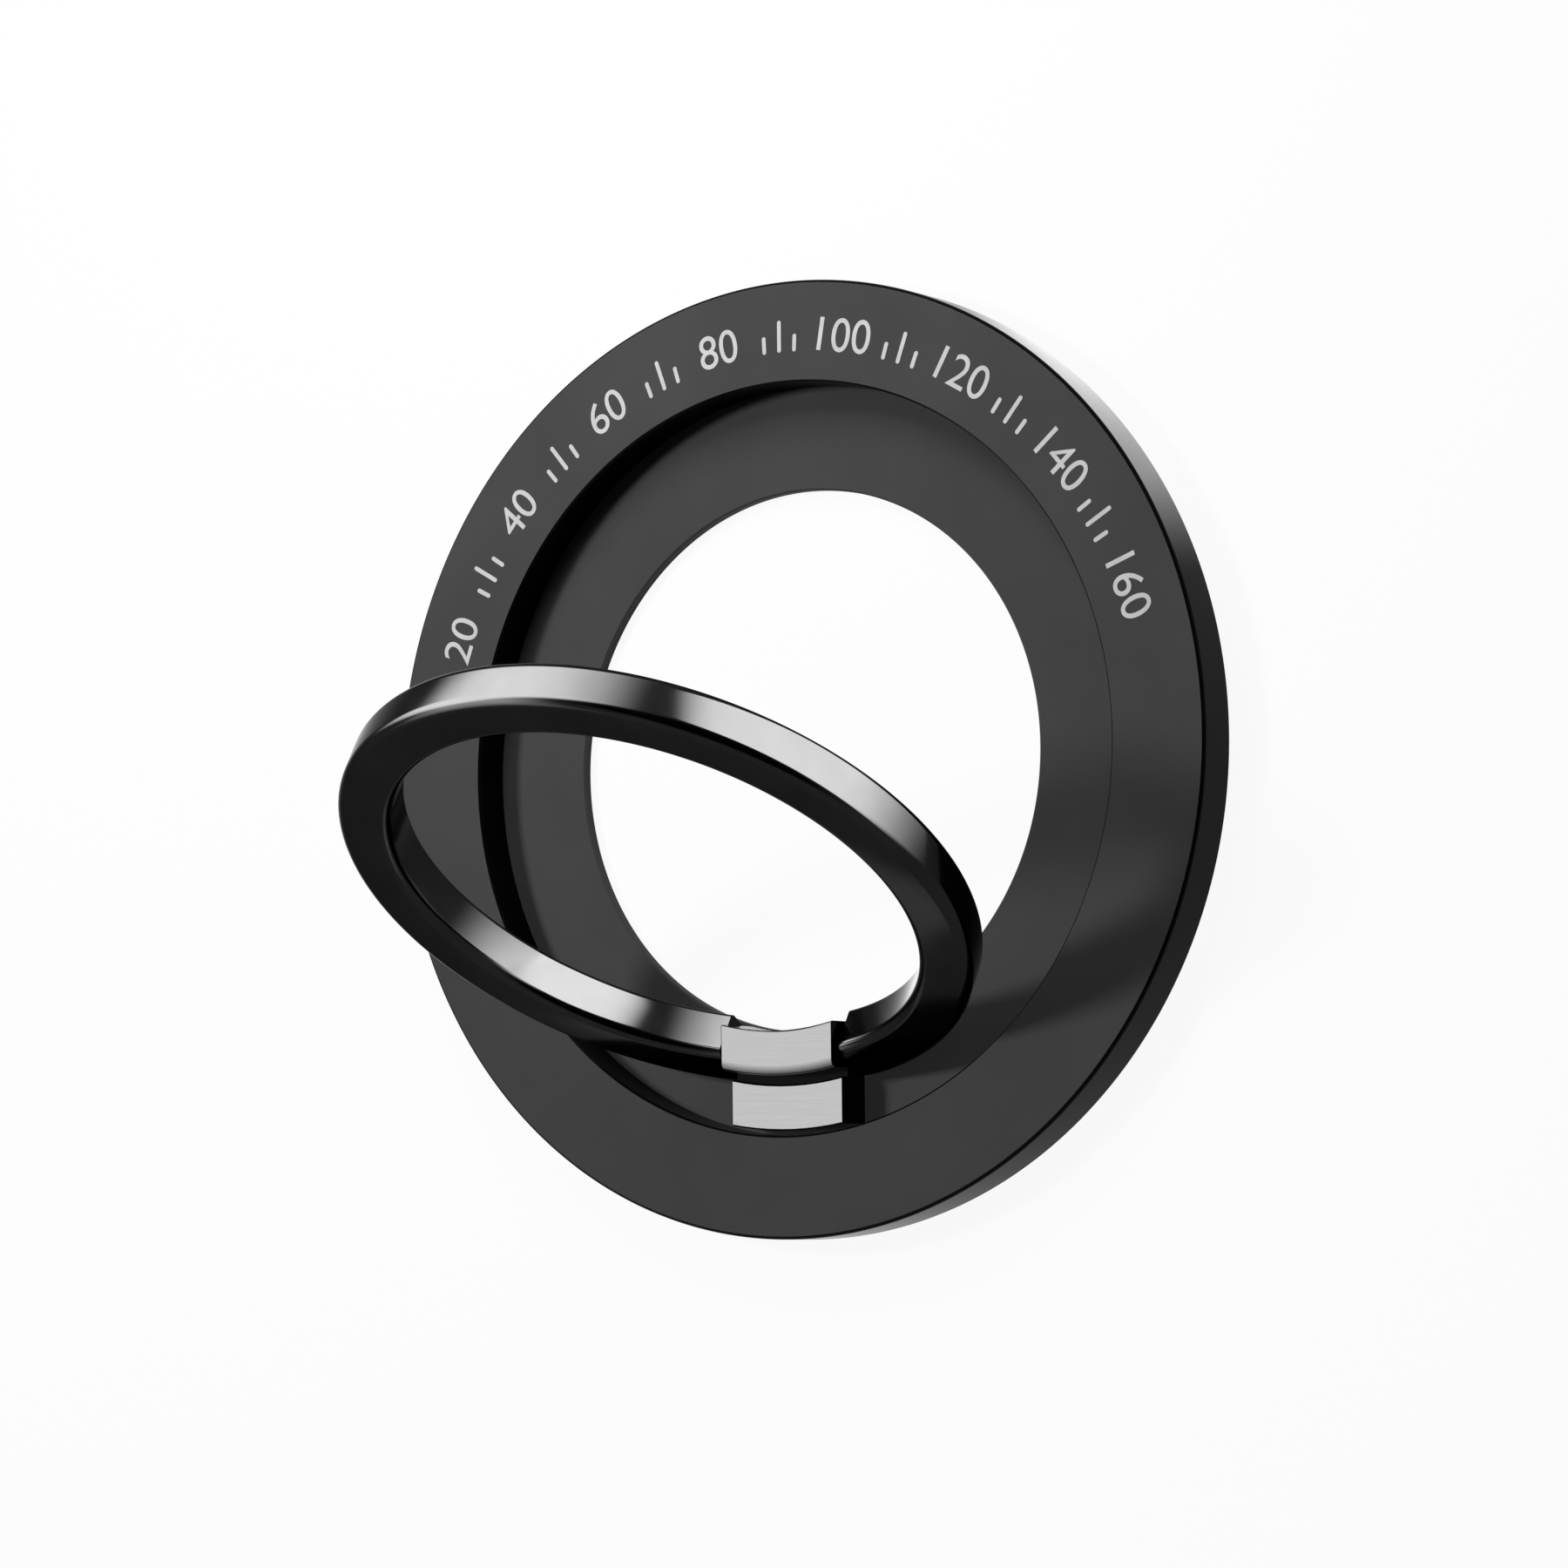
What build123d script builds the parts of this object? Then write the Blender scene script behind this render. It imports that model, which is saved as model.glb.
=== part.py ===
from build123d import *
import math
import os

# Magnetic phone ring holder, in millimetres.
# The origin is the centre of the face that lies on the phone. +Z points out of the front and the
# hinge is on the -Y side. The finger ring stands part way open, as it would when someone holds it.

# Finger ring
RING_BORE = 31.0
RING_WIDTH = 3.15
RING_THICKNESS = 2.9
RING_EDGE_ROUND = 0.6
RING_OPEN_ANGLE = 57.5
RING_FLOOR_CLEARANCE = 0.1
FOOT_CLEARANCE = 0.08

# Base shell
FINGER_GAP = 3.35
RIM_WALL = 0.9
FRONT_SKIN = 0.8
FLOOR_THICKNESS = 0.7
RIM_FRONT_ROUND = 0.35
RIM_BACK_CHAMFER = 0.28
RECESS_CHAMFER = 0.12
HOLE_CHAMFER = 0.1

# Magnets and their yoke, in a groove behind the rim
MAGNET_COUNT = 16
MAGNET_WIDTH = 4.0
MAGNET_THICKNESS = 1.6
MAGNET_GAP = 0.25
YOKE_THICKNESS = 0.4
POCKET_CLEARANCE = 0.1

# Soft pad over the magnets
PAD_THICKNESS = 0.4
PAD_STAND_OUT = 0.1
PAD_LEDGE = 0.4
PAD_CLEARANCE = 0.1

# Hinge block: a foot flush with the rim, and a knuckle between the ring's ends
BLOCK_WIDTH = 7.64
BLOCK_PIN_WALL = 0.15
BLOCK_HOLE_SETBACK = 0.05
BLOCK_WALL_CLEARANCE = 0.3
KNUCKLE_WIDTH = 2.6
KNUCKLE_RISE = 1.1
KNUCKLE_ROUND = 0.45
KNUCKLE_GROOVE_WIDTH = 0.5
KNUCKLE_GROOVE_DEPTH = 0.6
BLOCK_CHAMFER = 0.1

# Hinge pin and friction washers. The axis lies a little behind the middle of the folded ring
HINGE_INSET = 1.0
HINGE_DROP = 0.36
PIN_DIAMETER = 0.8
PIN_REACH = 1.9
PIN_CHAMFER = 0.1
PIN_PRESS_CLEARANCE = 0.01
PIN_RUN_CLEARANCE = 0.04
PIN_END_CLEARANCE = 0.15
WASHER_DIAMETER = 1.9
WASHER_THICKNESS = 0.22
WASHER_RUN_CLEARANCE = 0.06

# Countersunk screws that hold the block
SCREW_SPACING = 4.4
SCREW_SHANK_DIAMETER = 1.0
SCREW_HEAD_DIAMETER = 2.0
SCREW_HEAD_HEIGHT = 0.45
SCREW_SINK = 0.05
SCREW_BITE = 1.5
SCREW_CLEARANCE = 0.05
SCREW_THREAD_CLEARANCE = 0.01
SCREW_CROSS_LENGTH = 1.1
SCREW_CROSS_WIDTH = 0.25
SCREW_CROSS_DEPTH = 0.2

# Radii, worked out from the finger outwards
RING_INNER_R = RING_BORE / 2
RING_OUTER_R = RING_INNER_R + RING_WIDTH
RING_MID_R = (RING_INNER_R + RING_OUTER_R) / 2
RECESS_R = RING_OUTER_R + FINGER_GAP
GROOVE_INNER_R = RECESS_R + RIM_WALL
MAGNET_INNER_R = GROOVE_INNER_R + POCKET_CLEARANCE
MAGNET_OUTER_R = MAGNET_INNER_R + MAGNET_WIDTH
GROOVE_OUTER_R = MAGNET_OUTER_R + POCKET_CLEARANCE
BASE_R = GROOVE_OUTER_R + RIM_WALL
PAD_SEAT_INNER_R = GROOVE_INNER_R - PAD_LEDGE
PAD_SEAT_OUTER_R = GROOVE_OUTER_R + PAD_LEDGE

# The hinge axis runs along X at this radius, and the hole leaves the block its seat
HINGE_R = RING_INNER_R + HINGE_INSET
PIN_R = PIN_DIAMETER / 2
BLOCK_INNER_R = HINGE_R - PIN_R - BLOCK_PIN_WALL
BLOCK_OUTER_R = RECESS_R - BLOCK_WALL_CLEARANCE
KNUCKLE_OUTER_R = BLOCK_INNER_R + KNUCKLE_WIDTH
FOOT_INNER_R = KNUCKLE_OUTER_R + KNUCKLE_GROOVE_WIDTH
HOLE_R = BLOCK_INNER_R - BLOCK_HOLE_SETBACK
SCREW_R = (FOOT_INNER_R + BLOCK_OUTER_R) / 2

# Heights above the face that lies on the phone
BACK_Z = PAD_STAND_OUT
FLOOR_Z = BACK_Z + FLOOR_THICKNESS
YOKE_Z = PAD_THICKNESS + MAGNET_THICKNESS
GROOVE_Z = YOKE_Z + YOKE_THICKNESS
FRONT_Z = GROOVE_Z + FRONT_SKIN
KNUCKLE_Z = FRONT_Z + KNUCKLE_RISE
RING_MID_Z = FLOOR_Z + RING_FLOOR_CLEARANCE + RING_THICKNESS / 2
HINGE_Z = RING_MID_Z - HINGE_DROP
SCREW_HEAD_Z = BACK_Z + SCREW_SINK

# Places along the hinge axis
BLOCK_HALF = BLOCK_WIDTH / 2
RING_END_X = BLOCK_HALF + WASHER_THICKNESS + WASHER_RUN_CLEARANCE
PIN_END_X = RING_END_X + PIN_REACH

# The ring's foot is round about the hinge axis, so that it turns clear of the floor
FOOT_R = HINGE_Z - FLOOR_Z - FOOT_CLEARANCE
HINGE_AXIS = Axis((0, -HINGE_R, HINGE_Z), (1, 0, 0))
MATCH = 1e-4


def tube(inner_r, outer_r, low_z, high_z):
    """A ring of rectangular section about Z."""
    mid_r = (inner_r + outer_r) / 2
    mid_z = (low_z + high_z) / 2
    section = Plane.XZ * Pos(mid_r, mid_z) * Rectangle(outer_r - inner_r, high_z - low_z)
    return revolve(section, Axis.Z)


def hinge_side(solid, half_width):
    """The stretch of a ring that lies within half_width of X = 0 on the hinge side."""
    box = solid.bounding_box()
    reach = -box.min.Y
    mid_z = (box.min.Z + box.max.Z) / 2
    return solid & (Pos(0, -reach / 2, mid_z) * Box(2 * half_width, reach, box.size.Z))


def along_hinge(radius, half_length):
    """A bar on the hinge axis, the same length to both sides."""
    return Pos(0, -HINGE_R, HINGE_Z) * Rot(0, 90, 0) * Cylinder(radius, 2 * half_length)


def circle_edges(shape, radius, height):
    """Circular edges of one radius at one height."""
    def fits(edge):
        if edge.geom_type != GeomType.CIRCLE:
            return False
        same_radius = math.isclose(edge.radius, radius, abs_tol=MATCH)
        return same_radius and math.isclose(edge.arc_center.Z, height, abs_tol=MATCH)
    return shape.edges().filter_by(fits)


def screw_places():
    """Where the two screws stand, on the floor under the foot."""
    half = SCREW_SPACING / 2
    return [Pos(-half, -SCREW_R, 0), Pos(half, -SCREW_R, 0)]


def screw_form(growth, low_z, high_z):
    """A countersunk head with its shank, grown all round for a hole."""
    head_r = SCREW_HEAD_DIAMETER / 2 + growth
    shank_r = SCREW_SHANK_DIAMETER / 2 + growth
    head_top_z = SCREW_HEAD_Z + SCREW_HEAD_HEIGHT
    points = [
        (0, low_z),
        (head_r, low_z),
        (head_r, SCREW_HEAD_Z),
        (shank_r, head_top_z),
        (shank_r, high_z),
        (0, high_z),
    ]
    if math.isclose(low_z, SCREW_HEAD_Z):
        points.pop(1)
    return revolve(Plane.XZ * make_face(Polyline(*points, close=True)), Axis.Z)


def make_base_shell():
    """Cast base: hollow rim, recess, thin floor ring and open centre."""
    section = [
        (HOLE_R, BACK_Z),
        (PAD_SEAT_INNER_R, BACK_Z),
        (PAD_SEAT_INNER_R, PAD_THICKNESS),
        (GROOVE_INNER_R, PAD_THICKNESS),
        (GROOVE_INNER_R, GROOVE_Z),
        (GROOVE_OUTER_R, GROOVE_Z),
        (GROOVE_OUTER_R, PAD_THICKNESS),
        (PAD_SEAT_OUTER_R, PAD_THICKNESS),
        (PAD_SEAT_OUTER_R, BACK_Z),
        (BASE_R, BACK_Z),
        (BASE_R, FRONT_Z),
        (RECESS_R, FRONT_Z),
        (RECESS_R, FLOOR_Z),
        (HOLE_R, FLOOR_Z),
    ]
    shell = revolve(Plane.XZ * make_face(Polyline(*section, close=True)), Axis.Z)
    shell = fillet(circle_edges(shell, BASE_R, FRONT_Z), RIM_FRONT_ROUND)
    shell = chamfer(circle_edges(shell, BASE_R, BACK_Z), RIM_BACK_CHAMFER)
    shell = chamfer(circle_edges(shell, RECESS_R, FRONT_Z), RECESS_CHAMFER)
    shell = chamfer(circle_edges(shell, HOLE_R, FLOOR_Z), HOLE_CHAMFER)
    shell = chamfer(circle_edges(shell, HOLE_R, BACK_Z), HOLE_CHAMFER)
    hole = screw_form(SCREW_CLEARANCE, 0, FRONT_Z)
    for place in screw_places():
        shell -= place * hole
    return shell


def make_magnet(index):
    """One arc magnet of the ring that holds the base to the phone."""
    mid_r = (MAGNET_INNER_R + MAGNET_OUTER_R) / 2
    pitch = 360 / MAGNET_COUNT
    arc = pitch - math.degrees(MAGNET_GAP / mid_r)
    mid_z = PAD_THICKNESS + MAGNET_THICKNESS / 2
    section = Plane.XZ * Pos(mid_r, mid_z) * Rectangle(MAGNET_WIDTH, MAGNET_THICKNESS)
    return Rot(0, 0, pitch * index) * revolve(section, Axis.Z, arc)


def make_yoke_ring():
    """Steel ring over the magnets."""
    return tube(MAGNET_INNER_R, MAGNET_OUTER_R, YOKE_Z, GROOVE_Z)


def make_back_pad():
    """Soft ring that closes the groove and lies on the phone."""
    return tube(PAD_SEAT_INNER_R + PAD_CLEARANCE, PAD_SEAT_OUTER_R - PAD_CLEARANCE, 0, PAD_THICKNESS)


def foot_relief():
    """What is cut off the folded ring beyond the hinge axis, so that it can stand up on its foot."""
    width = 2 * RING_OUTER_R
    height = 2 * RING_THICKNESS
    beyond_axis = Pos(0, -HINGE_R - RING_WIDTH / 2, HINGE_Z) * Box(width, RING_WIDTH, height)
    front_of_foot = Pos(0, -HINGE_R - FOOT_R / 2, HINGE_Z + height / 2) * Box(width, FOOT_R, height)
    return beyond_axis - along_hinge(FOOT_R, RING_OUTER_R) - front_of_foot


def make_finger_ring():
    """C-shaped ring, drawn folded flat and then turned open about the hinge axis."""
    section = RectangleRounded(RING_WIDTH, RING_THICKNESS, RING_EDGE_ROUND)
    ring = revolve(Plane.XZ * Pos(RING_MID_R, RING_MID_Z) * section, Axis.Z)
    ring -= Pos(0, -RING_MID_R, RING_MID_Z) * Box(2 * RING_END_X, 2 * RING_WIDTH, 2 * RING_THICKNESS)
    ring -= foot_relief()
    ring -= along_hinge(PIN_R + PIN_RUN_CLEARANCE, PIN_END_X + PIN_END_CLEARANCE)
    return ring.rotate(HINGE_AXIS, RING_OPEN_ANGLE)


def make_hinge_block():
    """Foot flush with the rim, then a groove, then the raised knuckle that carries the pin."""
    block = tube(BLOCK_INNER_R, BLOCK_OUTER_R, FLOOR_Z, FRONT_Z)
    block += tube(BLOCK_INNER_R, KNUCKLE_OUTER_R, FLOOR_Z, KNUCKLE_Z)
    block -= tube(KNUCKLE_OUTER_R, FOOT_INNER_R, FRONT_Z - KNUCKLE_GROOVE_DEPTH, KNUCKLE_Z)
    block = fillet(circle_edges(block, KNUCKLE_OUTER_R, KNUCKLE_Z), KNUCKLE_ROUND)
    block = chamfer(circle_edges(block, BLOCK_INNER_R, KNUCKLE_Z), BLOCK_CHAMFER)
    block = chamfer(circle_edges(block, FOOT_INNER_R, FRONT_Z), BLOCK_CHAMFER)
    block = chamfer(circle_edges(block, BLOCK_OUTER_R, FRONT_Z), BLOCK_CHAMFER)
    block = hinge_side(block, BLOCK_HALF)
    block -= along_hinge(PIN_R + PIN_PRESS_CLEARANCE, BLOCK_WIDTH)
    thread_r = SCREW_SHANK_DIAMETER / 2 + SCREW_THREAD_CLEARANCE
    thread = Pos(0, 0, FLOOR_Z) * Cylinder(thread_r, 2 * SCREW_BITE)
    for place in screw_places():
        block -= place * thread
    return block


def make_hinge_pin():
    """Pin pressed in the block, with a free end on each side for the ring."""
    pin = along_hinge(PIN_R, PIN_END_X)
    return chamfer(pin.edges().filter_by(GeomType.CIRCLE), PIN_CHAMFER)


def make_washer(side):
    """Friction washer between the block and one end of the ring."""
    half = WASHER_THICKNESS / 2
    washer = along_hinge(WASHER_DIAMETER / 2, half) - along_hinge(PIN_R + PIN_RUN_CLEARANCE, half)
    return Pos(side * (BLOCK_HALF + half), 0, 0) * washer


def make_hinge_screws():
    """Both screws, as one group."""
    screw = screw_form(0, SCREW_HEAD_Z, FLOOR_Z + SCREW_BITE)
    slot = Box(SCREW_CROSS_LENGTH, SCREW_CROSS_WIDTH, 2 * SCREW_CROSS_DEPTH)
    screw -= Pos(0, 0, SCREW_HEAD_Z) * (slot + Rot(0, 0, 90) * slot)
    return Compound(children=[place * screw for place in screw_places()])


def make_parts():
    """Every piece of the holder by name."""
    parts = {
        "base_shell": make_base_shell(),
        "yoke_ring": make_yoke_ring(),
        "back_pad": make_back_pad(),
        "finger_ring": make_finger_ring(),
        "hinge_block": make_hinge_block(),
        "hinge_pin": make_hinge_pin(),
        "friction_washer_left": make_washer(-1),
        "friction_washer_right": make_washer(1),
        "hinge_screws": make_hinge_screws(),
    }
    for index in range(MAGNET_COUNT):
        parts[f"magnet_{index + 1:02d}"] = make_magnet(index)
    return parts


os.makedirs("parts", exist_ok=True)
for name, shape in make_parts().items():
    export_step(shape, f"parts/{name}.step")
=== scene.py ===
"""Dresses a magnetic phone ring holder: casting, ring, pad and rim scale, finishes and studio."""

import logging
import math
from dataclasses import dataclass
from enum import Enum

import bpy
from mathutils import Matrix, Vector


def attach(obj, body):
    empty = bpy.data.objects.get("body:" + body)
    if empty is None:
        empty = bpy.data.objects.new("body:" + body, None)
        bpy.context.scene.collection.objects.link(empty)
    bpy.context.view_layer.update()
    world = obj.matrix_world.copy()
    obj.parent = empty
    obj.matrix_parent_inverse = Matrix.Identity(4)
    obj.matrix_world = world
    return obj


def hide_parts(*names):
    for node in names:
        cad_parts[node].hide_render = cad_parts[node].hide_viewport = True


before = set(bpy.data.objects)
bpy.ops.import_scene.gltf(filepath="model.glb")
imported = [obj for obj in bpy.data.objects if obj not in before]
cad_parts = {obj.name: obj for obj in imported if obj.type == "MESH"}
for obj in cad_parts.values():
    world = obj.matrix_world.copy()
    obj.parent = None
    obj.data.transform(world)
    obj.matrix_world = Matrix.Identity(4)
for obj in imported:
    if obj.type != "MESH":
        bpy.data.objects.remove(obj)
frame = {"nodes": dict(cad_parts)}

MM = 0.001
FULL_TURN = 2 * math.pi
QUARTER_TURN = FULL_TURN / 4
HALF_TURN_DEG = 180
PHOTO_SENSOR_MM = 36.0

# Points closer than the first are merged, and a point closer to a corner than the second is on it.
MERGE_MM = 0.002
TOUCH_MM = 0.01
# A face whose normal is more upright than this is flat, and an edge that turns more than this is sharp.
FLAT_NORMAL = 0.98
SHARP_DEG = 30.0
# Noise is mostly near a half, so only its middle is stretched over a range.
NOISE_LOW = 0.3
NOISE_HIGH = 0.7
NOISE_DETAIL = 3.0
NOISE_ROUGHNESS = 0.55

log = logging.getLogger("ring_holder")

Colour = tuple[float, float, float, float]
Point = tuple[float, float, float]
Piece = bpy.types.Object
Tree = bpy.types.NodeTree
Socket = bpy.types.NodeSocket


class Reach(Enum):
    """What a lamp acts on."""

    MATTE = "dull surfaces"
    MIRRORED = "what a glossy surface mirrors"


class Lines(Enum):
    """Which way the grinding lines of a metal run, as the grain's length along X, Y and Z."""

    ALONG_X = (1.0, 0.03, 0.03)
    ALONG_Y = (0.03, 1.0, 0.03)
    NONE = (1.0, 1.0, 1.0)


def srgb(code: str) -> Colour:
    """Turns an sRGB hex colour into Blender's linear colour.

    Args:
        code: colour as six hex digits after a hash sign.

    Returns:
        Red, green, blue and an alpha of one.
    """
    shares = [int(code[i:i + 2], 16) / 255 for i in (1, 3, 5)]
    linear = [s / 12.92 if s <= 0.04045 else ((s + 0.055) / 1.055) ** 2.4 for s in shares]
    return (linear[0], linear[1], linear[2], 1.0)


def per_metre(size_mm: float) -> float:
    """Texture scale at which one feature is size_mm long."""
    return 1 / (size_mm * MM)


def metres(point: Point) -> Vector:
    """A point in millimetres as a vector in metres."""
    return Vector(point) * MM


def add_node(
    tree: Tree,
    kind: str,
    options: dict | None = None,
    values: dict | None = None,
    links: dict | None = None,
) -> bpy.types.Node:
    """Adds one node to a tree.

    Args:
        tree: node tree that takes the node.
        kind: Blender's name for the type of node.
        options: settings of the node itself.
        values: fixed values for its inputs.
        links: output sockets that feed its inputs.

    Returns:
        The new node.
    """
    node = tree.nodes.new(kind)
    for name, value in (options or {}).items():
        setattr(node, name, value)
    for name, value in (values or {}).items():
        node.inputs[name].default_value = value
    for name, socket in (links or {}).items():
        tree.links.new(socket, node.inputs[name])
    return node


def seen_mask(tree: Tree) -> Socket:
    """Tells what is seen, mirrored or looked through from what only gives light.

    Args:
        tree: node tree of the floor or the world.

    Returns:
        A socket that is one for camera, glossy and transmission rays, and else zero.
    """
    path = add_node(tree, "ShaderNodeLightPath")
    mirrored = add_node(
        tree,
        "ShaderNodeMath",
        {"operation": "MAXIMUM"},
        links={0: path.outputs["Is Glossy Ray"], 1: path.outputs["Is Transmission Ray"]},
    )
    seen = add_node(
        tree,
        "ShaderNodeMath",
        {"operation": "MAXIMUM"},
        links={0: path.outputs["Is Camera Ray"], 1: mirrored.outputs[0]},
    )
    return seen.outputs[0]


@dataclass(frozen=True)
class Finish:
    """A finish with one colour range, which each kind of surface details further."""

    name: str
    dark: str
    light: str
    metallic: float
    smoothest: float
    roughest: float
    patch_mm: float
    grain_mm: float
    grain_height_mm: float
    specular: float = 0.5
    edge: str = "#ffffff"
    grain_strength: float = 0.3

    def material(self) -> bpy.types.Material:
        """Makes the material.

        Returns:
            The finished material.
        """
        material = bpy.data.materials.new(self.name)
        material.use_nodes = True
        tree = material.node_tree
        shader = tree.nodes["Principled BSDF"]
        shader.inputs["Metallic"].default_value = self.metallic
        shader.inputs["Specular IOR Level"].default_value = self.specular
        shader.inputs["Specular Tint"].default_value = srgb(self.edge)
        self.detail(tree, shader)
        return material

    def place(self, tree: Tree) -> Socket:
        """The piece's own coordinates, in metres."""
        return add_node(tree, "ShaderNodeTexCoord").outputs["Object"]

    def noise(self, tree: Tree, size_mm: float, place: Socket) -> Socket:
        """Uneven grey with features of a given size.

        Args:
            tree: node tree of the material.
            size_mm: size of one feature.
            place: coordinates that the pattern follows.

        Returns:
            A socket from zero to one, mostly near a half.
        """
        node = add_node(
            tree,
            "ShaderNodeTexNoise",
            values={"Scale": per_metre(size_mm), "Detail": NOISE_DETAIL, "Roughness": NOISE_ROUGHNESS},
            links={"Vector": place},
        )
        return node.outputs["Fac"]

    def spread(self, tree: Tree, source: Socket, low: float, high: float) -> Socket:
        """Stretches the middle of a noise over a range.

        Args:
            tree: node tree of the material.
            source: noise from zero to one.
            low: value where the noise is low.
            high: value where the noise is high.

        Returns:
            The stretched value.
        """
        node = add_node(
            tree,
            "ShaderNodeMapRange",
            values={"From Min": NOISE_LOW, "From Max": NOISE_HIGH, "To Min": low, "To Max": high},
            links={"Value": source},
        )
        return node.outputs["Result"]

    def tone(self, tree: Tree, share: Socket) -> Socket:
        """A colour between the finish's dark and light ones.

        Args:
            tree: node tree of the material.
            share: zero for dark, one for light.

        Returns:
            The mixed colour.
        """
        node = add_node(
            tree,
            "ShaderNodeMix",
            {"data_type": "RGBA"},
            {"A": srgb(self.dark), "B": srgb(self.light)},
            {"Factor": share},
        )
        return node.outputs["Result"]

    def relief(self, tree: Tree, height: Socket) -> Socket:
        """Surface normals of the finish's fine grain.

        Args:
            tree: node tree of the material.
            height: height of the grain, from zero to one.

        Returns:
            The normals.
        """
        node = add_node(
            tree,
            "ShaderNodeBump",
            values={"Strength": self.grain_strength, "Distance": self.grain_height_mm * MM},
            links={"Height": height},
        )
        return node.outputs["Normal"]

    def grain_place(self, tree: Tree) -> Socket:
        """Coordinates that the grain follows."""
        return self.place(tree)

    def tint(self, patches: Socket, grain: Socket) -> Socket:
        """Chooses what varies the colour, here the patches."""
        return patches

    def detail(self, tree: Tree, shader: bpy.types.Node) -> None:
        """Gives the shader its uneven colour, gloss and grain.

        Args:
            tree: node tree of the material.
            shader: its surface shader.
        """
        patches = self.noise(tree, self.patch_mm, self.place(tree))
        grain = self.noise(tree, self.grain_mm, self.grain_place(tree))
        share = self.spread(tree, self.tint(patches, grain), 0.0, 1.0)
        sockets = {
            "Base Color": self.tone(tree, share),
            "Roughness": self.spread(tree, patches, self.smoothest, self.roughest),
            "Normal": self.relief(tree, grain),
        }
        for name, socket in sockets.items():
            tree.links.new(socket, shader.inputs[name])


@dataclass(frozen=True)
class GroundMetal(Finish):
    """Metal with fine lines from grinding, drawing or rolling."""

    grain_strength: float = 0.2
    lines: Lines = Lines.NONE

    def grain_place(self, tree: Tree) -> Socket:
        """Coordinates that stretch the grain along the lines."""
        lengths = self.lines.value
        scale = [1 / length * min(lengths) for length in lengths]
        links = {"Vector": self.place(tree)}
        return add_node(tree, "ShaderNodeMapping", values={"Scale": scale}, links=links).outputs["Vector"]

    def tint(self, patches: Socket, grain: Socket) -> Socket:
        """Chooses what varies the colour, here the lines."""
        return grain


@dataclass(frozen=True)
class GroundTops(GroundMetal):
    """Metal of the hinge block, ground bright on its two tops, with black painted shade elsewhere."""

    # Black painted shade. It goes inside the knuckle, fades in towards the groove, and covers the groove, the
    # sides and all below the foot's top.
    black: str = "#161616"
    foot_top: float = 3.18
    half_width: float = 3.78
    inner_r: float = 16.0
    fade_r: float = 17.95
    groove_inner_r: float = 18.5
    groove_outer_r: float = 19.07

    def blackened(self, tree: Tree) -> Socket:
        """Finds where black is painted as shade: the groove, the sides and all that is lower than the foot's
        top.

        Args:
            tree: node tree of the material.

        Returns:
            A socket that is one where painted shade makes the metal black, and else zero.
        """
        place = self.place(tree)
        flat = add_node(
            tree, "ShaderNodeVectorMath", {"operation": "MULTIPLY"}, {1: (1.0, 1.0, 0.0)}, {0: place}
        )
        length = add_node(
            tree, "ShaderNodeVectorMath", {"operation": "LENGTH"}, links={0: flat.outputs["Vector"]}
        )
        radius = length.outputs["Value"]
        axes = add_node(tree, "ShaderNodeSeparateXYZ", links={"Vector": place}).outputs
        across = add_node(tree, "ShaderNodeMath", {"operation": "ABSOLUTE"}, links={0: axes["X"]}).outputs[0]
        ramp = {"From Min": self.fade_r * MM, "From Max": self.groove_inner_r * MM}
        past_top = add_node(
            tree, "ShaderNodeMapRange", values=ramp, links={"Value": radius}
        ).outputs["Result"]
        found = past_top
        for test, limit, value, join in [
            ("LESS_THAN", self.groove_outer_r, radius, "MULTIPLY"),
            ("LESS_THAN", self.inner_r, radius, "MAXIMUM"),
            ("GREATER_THAN", self.half_width, across, "MAXIMUM"),
            ("LESS_THAN", self.foot_top, axes["Z"], "MAXIMUM"),
        ]:
            passed = add_node(tree, "ShaderNodeMath", {"operation": test}, {1: limit * MM}, {0: value})
            links = {0: found, 1: passed.outputs[0]}
            found = add_node(tree, "ShaderNodeMath", {"operation": join}, links=links).outputs[0]
        return found

    def tone(self, tree: Tree, share: Socket) -> Socket:
        """A colour between the dark and light steel, or black where shade is painted.

        Args:
            tree: node tree of the material.
            share: zero for dark steel, one for light steel.

        Returns:
            The mixed colour.
        """
        node = add_node(
            tree,
            "ShaderNodeMix",
            {"data_type": "RGBA"},
            {"B": srgb(self.black)},
            {"Factor": self.blackened(tree), "A": super().tone(tree, share)},
        )
        return node.outputs["Result"]


# Powder coat on a zinc casting: dull dark grey, with a fine orange-peel grain.
# The real grain is about 0.1 mm, drawn at 0.3 mm so that it shows.
BASE_COAT = Finish(
    "powder_coated_zinc", dark="#444444", light="#4a4a4a", metallic=0.0, smoothest=0.52, roughest=0.66,
    patch_mm=9.0, grain_mm=0.3, grain_height_mm=0.012, specular=0.05,
)
# The same coat on the rim's turned walls, painted near black as painted shade for the dark recess wall and
# the rim's edge, with a soft gloss.
WALL_SHADE_COAT = Finish(
    "wall_painted_shade_coat", dark="#070707", light="#0c0c0c", metallic=0.0, smoothest=0.14, roughest=0.22,
    patch_mm=6.0, grain_mm=0.4, grain_height_mm=0.002, specular=0.03,
)
# Black nickel plate on polished zinc: a dark mirror with a faint haze from handling.
RING_PLATE = Finish(
    "black_nickel_plate", dark="#1b1b1b", light="#202020", metallic=1.0, smoothest=0.09, roughest=0.14,
    patch_mm=7.0, grain_mm=0.6, grain_height_mm=0.0006, edge="#b9b9b9",
)
# Stainless steel, ground bright on top, with black painted as shade in the groove, on the sides and below the
# foot's top.
HINGE_STEEL = GroundTops(
    "ground_stainless_steel", dark="#c0c0c0", light="#c5c5c5", metallic=1.0, smoothest=0.12, roughest=0.18,
    patch_mm=3.0, grain_mm=0.12, grain_height_mm=0.0002, lines=Lines.ALONG_X,
)
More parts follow.
